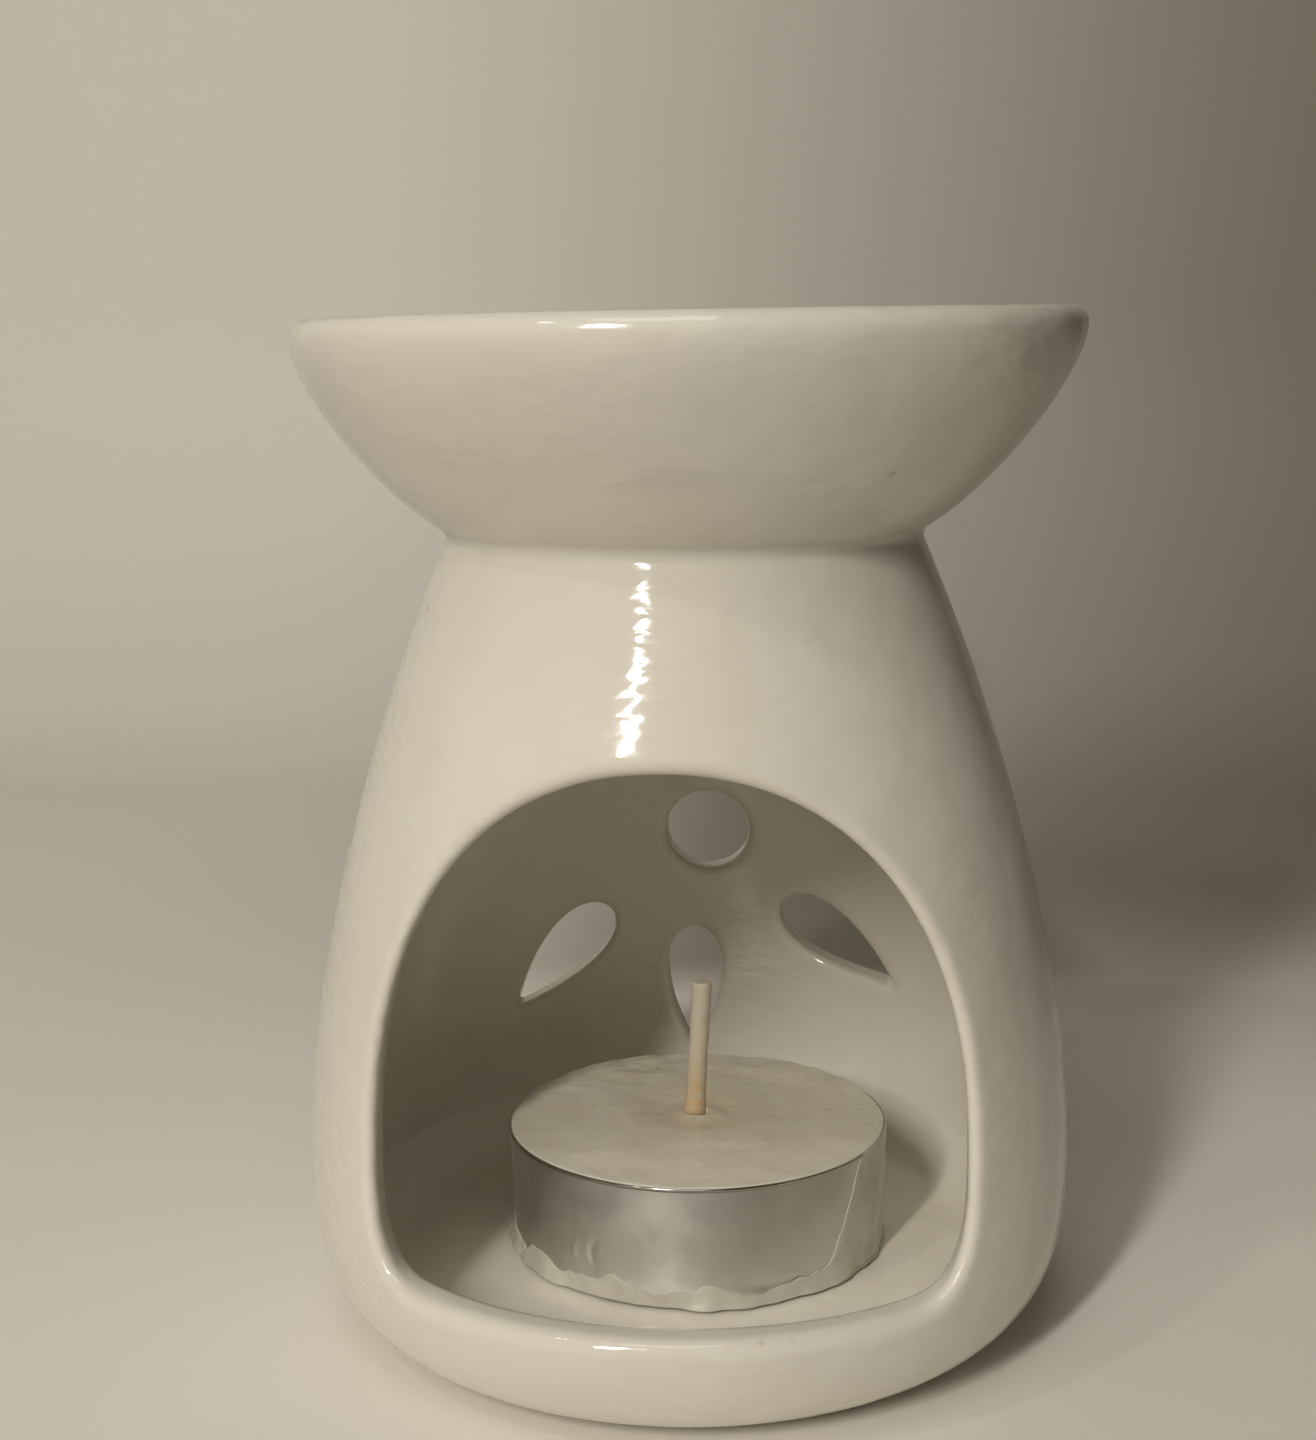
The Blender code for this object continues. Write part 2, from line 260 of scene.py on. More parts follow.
def dish_outline():
    seat = (SEAT_RADIUS, SEAT_Z)
    seat_handle = (SEAT_RADIUS + SEAT_HANDLE[0], SEAT_Z + SEAT_HANDLE[1])
    lip = (DISH_RADIUS, LIP_Z)
    outer = bezier(lip, (DISH_RADIUS, LIP_Z - LIP_HANDLE), seat_handle, seat, 50)
    inner = offset(outer, DISH_WALL)
    inner = with_fillet(inner[inner[:, 1] > DISH_FLOOR_Z], DISH_FLOOR_Z, DISH_FILLET)
    over_lip = arc((DISH_RADIUS - DISH_WALL / 2, LIP_Z), DISH_WALL / 2, 180, 0, 24)
    inside = np.concatenate([[(0, DISH_FLOOR_Z)], inner[:0:-1]])
    return mirrored(np.concatenate([inside, over_lip, outer[1:], [(0, SEAT_Z)]]))


def arch_outline():
    """A full half arch over a flat sill with round corners."""
    angle = np.linspace(0, math.pi, 65)
    across = np.sign(np.cos(angle)) * np.abs(np.cos(angle)) ** (2 / ARCH_POWER)
    up = np.abs(np.sin(angle)) ** (2 / ARCH_POWER)
    over = np.stack([ARCH_HALF_WIDTH * across, ARCH_SPRING_Z + (ARCH_TOP_Z - ARCH_SPRING_Z) * up], 1)
    angle = np.linspace(0, math.pi / 2, 17)[1:]
    inner = ARCH_HALF_WIDTH - SILL_CORNER_WIDTH
    corner_x = inner + SILL_CORNER_WIDTH * np.abs(np.cos(angle)) ** (2 / SILL_CORNER_POWER)
    corner_z = ARCH_SPRING_Z - (ARCH_SPRING_Z - SILL_Z) * np.sin(angle) ** (2 / SILL_CORNER_POWER)
    corner = np.stack([corner_x, corner_z], 1)
    return np.concatenate([over, corner * (-1, 1), corner[::-1]])


def drop_outline(x, z, direction):
    """A teardrop round its middle, with its tip along the direction."""
    turn = np.linspace(0, 2 * math.pi, 48, endpoint=False)
    widest = 4 / (3 * math.sqrt(3))  # the largest value of sin(turn) * sin(turn / 2)
    along = DROP_LENGTH / 2 * np.cos(turn)
    across = DROP_WIDTH / 2 / widest * np.sin(turn) * np.sin(turn / 2)
    cos, sin = math.cos(direction), math.sin(direction)
    return np.stack([x + along * cos - across * sin, z + along * sin + across * cos], 1)


# ------------------------------------------------------------------ the ceramic's distance field


def signed_distance(outline, u, v):
    """The distance from each point of a plane to a closed outline, negative inside it."""
    nearest = np.full(u.shape, np.inf)
    inside = np.zeros(u.shape, bool)
    for (au, av), (bu, bv) in zip(outline, np.roll(outline, -1, 0)):
        du, dv = bu - au, bv - av
        share = np.clip(((u - au) * du + (v - av) * dv) / (du * du + dv * dv + 1e-18), 0, 1)
        nearest = np.minimum(nearest, (u - au - share * du) ** 2 + (v - av - share * dv) ** 2)
        if bv != av:
            inside ^= ((av > v) != (bv > v)) & (u < au + (v - av) * du / dv)
    return np.where(inside, -1, 1) * np.sqrt(nearest)


def round_union(a, b, radius):
    """Two fields joined, with a concave fillet where they meet."""
    near = np.hypot(np.maximum(radius - a, 0), np.maximum(radius - b, 0))
    return np.maximum(radius, np.minimum(a, b)) - near


def round_cut(solid, hole, radius):
    """A solid with a hole taken out, and its edge rounded."""
    a, b = solid, -hole
    near = np.hypot(np.maximum(a + radius, 0), np.maximum(b + radius, 0))
    return np.minimum(-radius, np.maximum(a, b)) + near


class Table:
    """A field over a plane, worked out on a fine grid and read between its points."""

    def __init__(self, low, high, field):
        self.low = low
        u = np.arange(low[0], high[0], TABLE_STEP)
        v = np.arange(low[1], high[1], TABLE_STEP)
        self.values = field(*np.meshgrid(u, v, indexing="ij"))

    def at(self, u, v):
        """Linear between the grid's points."""
        rows, columns = self.values.shape
        i = np.clip((u - self.low[0]) / TABLE_STEP, 0, rows - 1.001)
        j = np.clip((v - self.low[1]) / TABLE_STEP, 0, columns - 1.001)
        i0, j0 = i.astype(int), j.astype(int)
        fi, fj = i - i0, j - j0
        first = self.values[i0, j0] * (1 - fj) + self.values[i0, j0 + 1] * fj
        second = self.values[i0 + 1, j0] * (1 - fj) + self.values[i0 + 1, j0 + 1] * fj
        return first * (1 - fi) + second * fi


class Pot:
    """The ceramic as a field: negative in the clay, and zero on its glazed surface."""

    def __init__(self):
        reach = BELLY_RADIUS + MARGIN
        low, high = (-MARGIN, -MARGIN), (reach + MARGIN, DISH_HIGH.z + MARGIN)
        chamber, dish = chamber_outline(), dish_outline()
        self.chamber = Table(low, high, lambda r, z: signed_distance(chamber, r, z))
        self.dish = Table(low, high, lambda r, z: signed_distance(dish, r, z))
        low, high = (-reach, 0), (reach, ARCH_TOP_Z + MARGIN)
        arch = arch_outline()
        holes = [arc(ROUND_VENT[:2], ROUND_VENT[2], 0, 350, 36)]
        holes += [drop_outline(*drop) for drop in DROPS]
        self.arch = Table(low, high, lambda x, z: signed_distance(arch, x, z))
        self.vents = Table(low, high, lambda x, z: np.min([signed_distance(h, x, z) for h in holes], 0))

    def parts(self, points):
        """The distances to the turned wall, to the arched opening and to the vents."""
        x, y, z = points.T
        radius = np.hypot(x, y)
        chamber, dish = self.chamber.at(radius, z), self.dish.at(radius, z)
        opening = np.maximum(self.arch.at(x, z), y - ARCH_BACK_Y)
        vents = np.maximum(self.vents.at(x, z), VENT_FRONT_Y - y)
        return chamber, dish, opening, vents

    def __call__(self, points):
        chamber, dish, opening, vents = self.parts(points)
        wall = round_union(chamber, dish, NECK_FILLET)
        return round_cut(round_cut(wall, opening, ARCH_EDGE), vents, VENT_EDGE)


def surface_net(field, low, high, step):
    """Points in the cells that the field's surface passes through, and the quads that join them."""
    lines = [np.arange(a, b, step) for a, b in zip(low, high)]
    grid = np.stack(np.meshgrid(*lines, indexing="ij"), -1)
    inside = field(grid.reshape(-1, 3)).reshape(grid.shape[:3]) < 0
    cells = tuple(n - 1 for n in inside.shape)
    corners = np.zeros(cells, int)
    for i, j, k in np.ndindex(2, 2, 2):
        corners += inside[i : i + cells[0], j : j + cells[1], k : k + cells[2]]
    crossed = (corners > 0) & (corners < 8)
    index = np.full(cells, -1)
    index[crossed] = np.arange(crossed.sum())
    points = np.array(low) + (np.argwhere(crossed) + 0.5) * step
    return points, np.concatenate([quads_across(inside, index, axis) for axis in range(3)])


def quads_across(inside, index, axis):
    """A quad for each of the grid's edges along the axis that the surface crosses, facing out."""
    one, two = (axis + 1) % 3, (axis + 2) % 3
    first = np.take(inside, range(inside.shape[axis] - 1), axis)
    second = np.take(inside, range(1, inside.shape[axis]), axis)
    edges = np.argwhere(first != second)
    ring = []
    for step_one, step_two in ((0, 0), (-1, 0), (-1, -1), (0, -1)):
        cell = edges.copy()
        cell[:, one] += step_one
        cell[:, two] += step_two
        ring.append(index[tuple(cell.T)])
    quads = np.stack(ring, 1)
    inwards = ~first[tuple(edges.T)]
    quads[inwards] = quads[inwards][:, ::-1]
    return quads


def onto_surface(points, field):
    """Each point moved along the field's slope to where the field is zero."""
    reach = 0.05 * MM
    for _ in range(2):
        slope = np.zeros_like(points)
        for axis in range(3):
            aside = np.zeros(3)
            aside[axis] = reach
            slope[:, axis] = (field(points + aside) - field(points - aside)) / (2 * reach)
        steepness = np.maximum((slope**2).sum(1), 0.25)
        points = points - slope * (field(points) / steepness)[:, None]
    return points


def settled(points, quads, field):
    """The net evened out along the surface, so that its cells don't show in the gloss."""
    ends = np.concatenate([quads[:, [i, (i + 1) % 4]] for i in range(4)])
    count = np.bincount(ends[:, 0], minlength=len(points))[:, None]
    for _ in range(SETTLING_ROUNDS):
        around = [np.bincount(ends[:, 0], points[ends[:, 1], k], len(points)) for k in range(3)]
        points = points + 0.6 * (np.stack(around, 1) / count - points)
        points = onto_surface(points, field)
    return points


# ------------------------------------------------------------------ mesh helpers


def mesh_of(name, points, faces):
    mesh = bpy.data.meshes.new(name)
    mesh.vertices.add(len(points))
    mesh.vertices.foreach_set("co", np.asarray(points, np.float32).ravel())
    faces = np.asarray(faces)
    sides = faces.shape[1]
    mesh.loops.add(faces.size)
    mesh.loops.foreach_set("vertex_index", faces.ravel().astype(np.int32))
    mesh.polygons.add(len(faces))
    mesh.polygons.foreach_set("loop_start", np.arange(0, faces.size, sides, dtype=np.int32))
    mesh.update(calc_edges=True)
    mesh.validate()
    mesh.shade_smooth()
    return mesh


def normals_of(mesh):
    flat = np.zeros(len(mesh.vertices) * 3, np.float32)
    mesh.vertices.foreach_get("normal", flat)
    return flat.reshape(-1, 3).astype(float)


def store(mesh, name, values):
    """Keeps a number or a vector for each vertex of the mesh, for its material or for later."""
    kind = "FLOAT" if values.ndim == 1 else "FLOAT_VECTOR"
    field = "value" if values.ndim == 1 else "vector"
    mesh.attributes.new(name, kind, "POINT").data.foreach_set(field, values.astype(np.float32).ravel())


def noise_at(points, length, seed=0.0, octaves=2):
    """Smooth noise between about -1 and 1, with features of the given length."""
    shift = Vector((seed, seed * 1.7, -seed))
    return np.array([noise.fractal(Vector(p) / length + shift, 1.0, 2.0, octaves) for p in points])


def link(name, mesh):
    made = bpy.data.objects.new(name, mesh)
    bpy.context.scene.collection.objects.link(made)
    return made


def smooth_step(value, low, high):
    share = np.clip((value - low) / (high - low), 0, 1)
    return share * share * (3 - 2 * share)


# ------------------------------------------------------------------ ceramic pieces


def kiln_warp(points):
    """The dish settled a little in the firing: its left side droops and has drawn in."""
    above = smooth_step(points[:, 2], NECK_Z, DISH_HIGH.z)
    left = np.clip(-points[:, 0] / DISH_RADIUS, 0, 1)
    warped = points.copy()
    warped[:, 0] += above * RIM_DRAWN_IN * left**2
    warped[:, 2] += above * (points[:, 0] * math.tan(DISH_TILT) - RIM_DROOP * left**3)
    return warped


def ceramic_mesh():
    """The whole pot's surface, with what its material needs stored on it."""
    pot = Pot()
    reach = BELLY_RADIUS + 2 * CELL
    low, high = (-reach, -reach, -2 * CELL), (reach, reach, DISH_HIGH.z + 2 * CELL)
    points, quads = surface_net(pot, low, high, CELL)
    points = settled(points, quads, pot)
    chamber, dish, opening, vents = pot.parts(points)
    wall = np.minimum(chamber, dish)
    thin = np.maximum(
        1 - np.maximum(abs(wall), abs(opening)) / ARCH_EDGE,
        1 - np.maximum(abs(wall), abs(vents)) / VENT_EDGE,
    )
    # nearness to the crease between dish and chamber, where the glaze is painted greyer
    neck_crease = 1 - np.maximum(abs(chamber), abs(dish)) / (2 * NECK_FILLET)
    mesh = mesh_of("ceramic", points, quads)
    glazed = smooth_step(points[:, 2], 0.1 * MM, 0.8 * MM)
    ripple = RIPPLE * glazed * noise_at(points, RIPPLE_LENGTH)
    points = kiln_warp(points + normals_of(mesh) * ripple[:, None])
    mesh.vertices.foreach_set("co", points.astype(np.float32).ravel())
    mesh.update()
    store(mesh, "thin", np.clip(thin, 0, 1))
    store(mesh, "neck_crease", np.clip(neck_crease, 0, 1))
    store(mesh, "glaze_normal", normals_of(mesh))
    return mesh


def casting(whole, name, above):
    """The part of the ceramic above or below the neck's seam, closed across the seam."""
    work = bmesh.new()
    work.from_mesh(whole)
    everything = work.verts[:] + work.edges[:] + work.faces[:]
    plane = {"plane_co": (0, 0, (NECK_Z + SEAT_Z) / 2), "plane_no": (0, 0, 1)}
    cut = bmesh.ops.bisect_plane(work, geom=everything, clear_outer=not above, clear_inner=above, **plane)
    rim = [e for e in cut["geom_cut"] if isinstance(e, bmesh.types.BMEdge)]
    cap = bmesh.ops.bridge_loops(work, edges=rim)["faces"]
    for face in work.faces:
        face.smooth = True
    for face in cap:
        face.smooth = False
    bmesh.ops.recalc_face_normals(work, faces=work.faces)
    mesh = bpy.data.meshes.new(name)
    work.to_mesh(mesh)
    work.free()
    keep_glaze_normals(mesh)
    return link(name, mesh)


def keep_glaze_normals(mesh):
    """Shades the outside as one surface up to the seam, and leaves the seam's own face flat."""
    corners = len(mesh.loops)
    vertex = np.zeros(corners, np.int32)
    mesh.loops.foreach_get("vertex_index", vertex)
    stored = np.zeros(len(mesh.vertices) * 3, np.float32)
    mesh.attributes["glaze_normal"].data.foreach_get("vector", stored)
    normals = stored.reshape(-1, 3)[vertex]
    for face in mesh.polygons:
        if not face.use_smooth:
            normals[face.loop_start : face.loop_start + face.loop_total] = face.normal
    mesh.attributes.remove(mesh.attributes["glaze_normal"])
    mesh.normals_split_custom_set(normals.tolist())


def make_ceramics(glaze):
    whole = ceramic_mesh()
    castings = (("glazed_chamber", "fire_chamber", False), ("glazed_dish", "melting_dish", True))
    for name, node, above in castings:
        piece = casting(whole, name, above)
        piece.data.materials.append(glaze)
        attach(piece, "pot")
        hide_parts(node)
    bpy.data.meshes.remove(whole)


# ------------------------------------------------------------------ materials


class Shader:
    """A Principled material with short ways to add and join its nodes."""

    def __init__(self, name, **values):
        self.material = bpy.data.materials.new(name)
        self.material.use_nodes = True
        self.tree = self.material.node_tree
        self.surface = self.tree.nodes["Principled BSDF"]
        self.set(self.surface, values)

    def set(self, node, values):
        for key, value in values.items():
            socket = node.inputs[key.replace("_", " ") if isinstance(key, str) else key]
            if isinstance(value, bpy.types.NodeSocket):
                self.tree.links.new(value, socket)
            else:
                socket.default_value = value

    def add(self, kind, settings=None, values=None):
        node = self.tree.nodes.new("ShaderNode" + kind)
        for key, value in (settings or {}).items():
            setattr(node, key, value)
        self.set(node, values or {})
        return node

    def place(self):
        return self.add("TexCoord").outputs["Object"]

    def height(self):
        return self.add("SeparateXYZ", values={0: self.place()}).outputs["Z"]

    def noise(self, scale, detail=2.0, roughness=0.5, vector=None):
        values = {"Vector": vector or self.place(), "Scale": scale, "Detail": detail, "Roughness": roughness}
        return self.add("TexNoise", values=values).outputs["Fac"]

    def ramp(self, value, low, high, to_low=0.0, to_high=1.0):
        values = {0: value, 1: low, 2: high, 3: to_low, 4: to_high}
        return self.add("MapRange", {"interpolation_type": "SMOOTHSTEP"}, values).outputs[0]

    def math(self, operation, a, b):
        return self.add("Math", {"operation": operation}, {0: a, 1: b}).outputs[0]

    def product(self, first, *others):
        """All of the values multiplied together."""
        for other in others:
            first = self.math("MULTIPLY", first, other)
        return first

    def mix(self, share, a, b):
        """Colour a, with colour b over it by the share."""
        node = self.add("Mix", {"data_type": "RGBA"})
        for socket, value in zip([node.inputs[i] for i in (0, 6, 7)], (share, a, b)):
            if isinstance(value, bpy.types.NodeSocket):
                self.tree.links.new(value, socket)
            else:
                socket.default_value = value if isinstance(value, float) else (*value, 1)
        return node.outputs[2]

    def stored(self, name):
        return self.add("Attribute", {"attribute_name": name}).outputs["Fac"]

    def spots(self, scale, core, edge, patch_scale, patch_from):
        """Small round spots, one inside the core and fading to its edge, in a few patches only."""
        cells = self.add("TexVoronoi", values={"Vector": self.place(), "Scale": scale})
        patches = self.ramp(self.noise(patch_scale, 1.0), patch_from, 0.70)
        return self.product(self.ramp(cells.outputs["Distance"], core, edge, 1.0, 0.0), patches)

    def let_light_in(self, weight, depth, spread):
        """Scatters light under the surface, as paraffin does."""
        values = {"Subsurface Weight": weight, "Subsurface Scale": depth, "Subsurface Radius": spread}
        self.set(self.surface, {**values, "IOR": 1.43})

    def bump(self, height, strength, distance, below=None):
        values = {"Height": height, "Strength": strength, "Distance": distance}
        if below is not None:
            values["Normal"] = below
        return self.add("Bump", values=values).outputs["Normal"]


def glaze_colour(made, bare):
    """Faintly clouded white: painted greyer in the crease between dish and chamber, warmer where the glaze
    is thin, with a few iron specks.
    """
    body = made.mix(made.ramp(made.noise(38, 3.0), 0.35, 0.65), GLAZE_CREAM, GLAZE_MILK)
    body = made.mix(made.ramp(made.noise(160, 2.0), 0.45, 0.75, 0.0, 0.25), body, GLAZE_IVORY)
    # painted greyer in the crease between dish and chamber
    body = made.mix(made.ramp(made.stored("neck_crease"), 0.1, 0.9, 0.0, 0.5), body, GLAZE_NECK_CREASE)
    body = made.mix(made.ramp(made.stored("thin"), 0.3, 1.0, 0.0, 0.5), body, GLAZE_THIN)
    specks = made.spots(210.0, 0.05, 0.11, 75, 0.66)
    body = made.mix(made.math("MULTIPLY", specks, 0.35), body, IRON_SPECK)
    return made.mix(bare, body, BARE_CLAY)


def glaze_relief(made):
    """Long waves, flattened ripples in patches that break up the highlights, and tiny pits."""
    flattened = made.add("Mapping", values={"Vector": made.place(), "Scale": (1.0, 1.0, 2.6)}).outputs[0]
    waves = made.bump(made.noise(150, 1.0), 0.5, 0.4 * MM)
    patches = made.ramp(made.noise(65, 1.0), 0.35, 0.62, 0.15, 1.0)
    ripples = made.math("MULTIPLY", made.noise(300, 1.5, vector=flattened), patches)
    ripples = made.bump(ripples, 0.5, 0.24 * MM, waves)
    return made.bump(made.noise(1500, 1.0), 0.05, 0.08 * MM, ripples)


def glaze_material():
    """White earthenware under a clear glaze, with a bare foot."""
    made = Shader("white_glaze")
    bare = made.ramp(made.height(), 0.25 * MM, 0.55 * MM, 1.0, 0.0)
    gloss = made.ramp(made.noise(95, 3.0), 0.3, 0.75, 0.07, 0.16)
    roughness = made.math("MAXIMUM", gloss, made.math("MULTIPLY", bare, 0.75))
    values = {"Base Color": glaze_colour(made, bare), "Roughness": roughness, "IOR": 1.5}
    made.set(made.surface, {**values, "Normal": glaze_relief(made)})
    return made.material


def aluminium_material():
    """Thin drawn sheet: satin, with its shine spread up and down the wall, and a glossier rim, painted
    darker as a painted dark reflection.
    """
    made = Shader("drawn_aluminium", Metallic=1.0, Anisotropic=0.45, Anisotropic_Rotation=0.25)
    cloud = made.noise(240, 3.0)
    colour = made.mix(made.ramp(cloud, 0.3, 0.7), SHEET_DARK, SHEET_PALE)
    rim_z = CUP_LOW.z + RIM_Z
    at_rim = made.ramp(made.height(), rim_z - 3.0 * RIM_ROLL, rim_z - 2.2 * RIM_ROLL)
    # the rim's darker colour is a painted dark reflection of the dark inside of the pot
    colour = made.mix(at_rim, colour, SHEET_RIM_PAINTED_DARK)
    roughness = made.ramp(cloud, 0.2, 0.8, 0.46, 0.54)
    roughness = made.math("MULTIPLY", roughness, made.ramp(at_rim, 0.0, 1.0, 1.0, 0.3))
    around = made.add("Tangent", {"direction_type": "RADIAL", "axis": "Z"}).outputs[0]
    made.set(made.surface, {"Base Color": colour, "Roughness": roughness, "Tangent": around})
    return made.material


def wax_material(name, clearness, dark, pale):
    """Set paraffin: a dull, slightly clear surface, stained round the wick, with a bloom and a few pits."""
    made = Shader(name)
    colour = made.mix(made.ramp(made.noise(190, 4.0, 0.6), 0.35, 0.7), dark, pale)
    near = made.add("VectorMath", {"operation": "DISTANCE"}, {0: made.place(), 1: WICK_FOOT})
    stain = made.ramp(near.outputs["Value"], 1.0 * MM, 9.0 * MM, 0.7, 0.0)
    stain = made.math("MULTIPLY", stain, made.ramp(made.noise(330, 3.0), 0.35, 0.65, 0.4, 1.0))
    colour = made.mix(stain, colour, WAX_STAIN)
    pits = made.spots(260.0, 0.06, 0.20, 120, 0.64)
    colour = made.mix(made.math("MULTIPLY", pits, 0.3), colour, WAX_PIT)
    roughness = made.ramp(made.noise(420, 2.0), 0.3, 0.7, 0.26, 0.46)
    relief = made.bump(made.noise(520, 4.0, 0.65), 0.25, 0.2 * MM)
    relief = made.bump(made.ramp(pits, 0.0, 1.0, 1.0, 0.0), 0.3, 0.2 * MM, relief)
    made.set(made.surface, {"Base Color": colour, "Roughness": roughness, "Normal": relief})
    made.let_light_in(clearness, 2.0 * MM, (1.0, 0.85, 0.6))
    return made.material


def wick_material():
    """Braided cotton soaked in wax, stained where it enters the candle."""
    made = Shader("waxed_cotton")
    low, high = WAX_HIGH.z, WICK_HIGH.z
    stain = made.ramp(made.height(), low - 0.5 * MM, low + 0.62 * (high - low), 1.0, 0.0)
    stain = made.math("MULTIPLY", stain, made.ramp(made.noise(900, 3.0, 0.7), 0.35, 0.62, 0.25, 1.0))
    colour = made.mix(stain, COTTON, COTTON_STAIN)
    plait = made.add("TexWave", {"bands_direction": "DIAGONAL"}, {"Vector": made.place(), "Scale": 420.0})
    relief = made.bump(plait.outputs["Fac"], 0.25, 0.1 * MM)
    made.set(made.surface, {"Base Color": colour, "Roughness": 0.38, "Normal": relief})
    made.let_light_in(0.4, 1.2 * MM, (1.0, 0.75, 0.45))
    return made.material


def tinned_material():
    made = Shader("tinned_steel", Metallic=1.0)
    cloud = made.noise(900, 4.0, 0.7)
    colour = made.mix(made.ramp(cloud, 0.3, 0.7), TIN_DARK, TIN_PALE)
    made.set(made.surface, {"Base Color": colour, "Roughness": made.ramp(cloud, 0.3, 0.7, 0.28, 0.5)})
    return made.material


# ------------------------------------------------------------------ tealight


def lathe(profile, columns, closed=False):
    """Points and quads turned from a profile that runs up the inside and down the outside.

    An open profile starts and ends on the axis, and a closed one is a ring's section. The profile
    may also be given for each column by itself."""
    profile = np.asarray(profile)
    if profile.ndim == 2:
        profile = np.repeat(profile[:, None], columns, 1)
    rows = len(profile)
    angle = np.linspace(0, 2 * math.pi, columns, endpoint=False)
    radius, height = profile[..., 0], profile[..., 1]
    points = np.stack([radius * np.sin(angle), -radius * np.cos(angle), height], -1).reshape(-1, 3)
    across = np.arange(rows if closed else rows - 1)[:, None]
    around = np.arange(columns)[None, :]
    here, above = across * columns, (across + 1) % rows * columns
    after = (around + 1) % columns
    quads = np.stack([here + around, here + after, above + after, above + around], -1).reshape(-1, 4)
    return points, quads


def closed_mesh(name, points, quads):
    """A mesh from a lathe's points, with the ring of points at each end of the axis made one."""
    mesh = mesh_of(name, points, quads)
    work = bmesh.new()
    work.from_mesh(mesh)
    bmesh.ops.remove_doubles(work, verts=work.verts, dist=1e-7)
    bmesh.ops.recalc_face_normals(work, faces=work.faces)
    work.to_mesh(mesh)
    work.free()
    mesh.shade_smooth()
    return mesh


def line(start, end, count):
    share = np.linspace(0, 1, count)[:, None]
    return np.array(start) * (1 - share) + np.array(end) * share


def cup_profile():
    """Up the inside of the sheet, over its rolled rim, down the outside and across the stepped base."""
    centre = (CUP_BASE_RADIUS - CUP_CORNER, CUP_CORNER)
    inner_corner = arc(centre, CUP_CORNER - CUP_SHEET, -90, 0, 8)
    outer_corner = arc(centre, CUP_CORNER, 0, -90, 12)
    inner_top = (CUP_RADIUS - 2 * RIM_ROLL, RIM_Z - 2 * RIM_ROLL)
    outer_top = (CUP_RADIUS - 0.4 * RIM_ROLL, RIM_Z - 2.4 * RIM_ROLL)
    rim = arc((CUP_RADIUS - RIM_ROLL, RIM_Z - RIM_ROLL), RIM_ROLL, 180, -50, 10)
    inside = [line((0, CUP_SHEET), (inner_corner[0][0] - MM, CUP_SHEET), 12), inner_corner]
    wall = [line(inner_corner[-1], inner_top, 24)[1:], rim, line(outer_top, outer_corner[0], 40)]
    step = 0.25 * MM
    ring = [(15.0, 0), (14.2, 0), (13.6, step), (11.0, step), (10.6, 0), (10.0, 0), (9.6, step), (0, step)]
    under = [(radius * MM, z) for radius, z in ring]
    return np.concatenate([*inside, *wall, outer_corner[1:], under])


def dented(points):
    """The cup's points as handling left them: dents in the wall, and creases round the base."""
    angle = np.arctan2(points[:, 0], -points[:, 1])
    radius = np.hypot(points[:, 0], points[:, 1])
    height = points[:, 2]
    push = np.zeros(len(points))
    for at, level, wide, tall, deep in CUP_DENTS:
        aside = ((angle - at + math.pi) % (2 * math.pi) - math.pi) / wide
        out = np.hypot(aside, (height - level) / tall)
        push += deep * np.exp(-(((out - 1) / 0.4) ** 2)) * np.clip(-aside, 0, 1)
    around = np.stack([np.sin(angle), np.cos(angle), height / (6 * MM)], 1)
    push += smooth_step(height, 3.0 * MM, 0.8 * MM) * CUP_CREASES * noise_at(around, 0.22, 3.0, 3)
    push += 0.02 * MM * noise_at(around, 0.6, 9.0)
    near_wall = smooth_step(radius, 0.70 * CUP_RADIUS, 0.93 * CUP_RADIUS)
    bent = points * (1 - push * near_wall / np.maximum(radius, MM))[:, None]
    bent[:, 2] = height
    return bent


def make_cup(finish):
    points, quads = lathe(cup_profile(), CUP_COLUMNS)
    points = dented(points) + (CUP_X, CUP_Y, CUP_LOW.z)
    cup = link("drawn_cup", closed_mesh("drawn_cup", points, quads))
    cup.data.materials.append(finish)
    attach(cup, "tealight")
    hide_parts("tealight_cup")


def spill_side(turn, around):
    """How far up the cup the wax reaches at each angle: 0 at the skirt's top and 1 at the rim."""
    side = smooth_step(turn, *SPILL_FROM) * (1 - smooth_step(turn, *SPILL_TO))
    return np.clip(side + 0.5 * side * (1 - side) * noise_at(around, 0.08, 9.0, 2), 0, 1)


def spill_thickness(height, top, side, around):
    """Thin and lumpy, rounded off at its upper edge, and flared where it met the floor."""
    fade = (0.8 + 2.8 * side) * MM
    edge = np.sqrt(1 - (1 - np.clip((top - height) / fade, 0.002, 1)) ** 2)
    lumps = np.stack([around[:, 0] + 0 * height, around[:, 1] + 0 * height, height / (12 * MM)], -1)
    uneven = noise_at(lumps.reshape(-1, 3), 0.10, 5.0, 2).reshape(height.shape)
    flare = np.clip(SKIRT_FLARE[0] + SKIRT_FLARE[1] * noise_at(around, 0.33, 7.0, 3), 0, SKIRT_FLARE[2])
    return edge * (SPILL_THICKNESS * (1 + 0.7 * uneven) + flare * np.exp(-height / (0.7 * MM)))


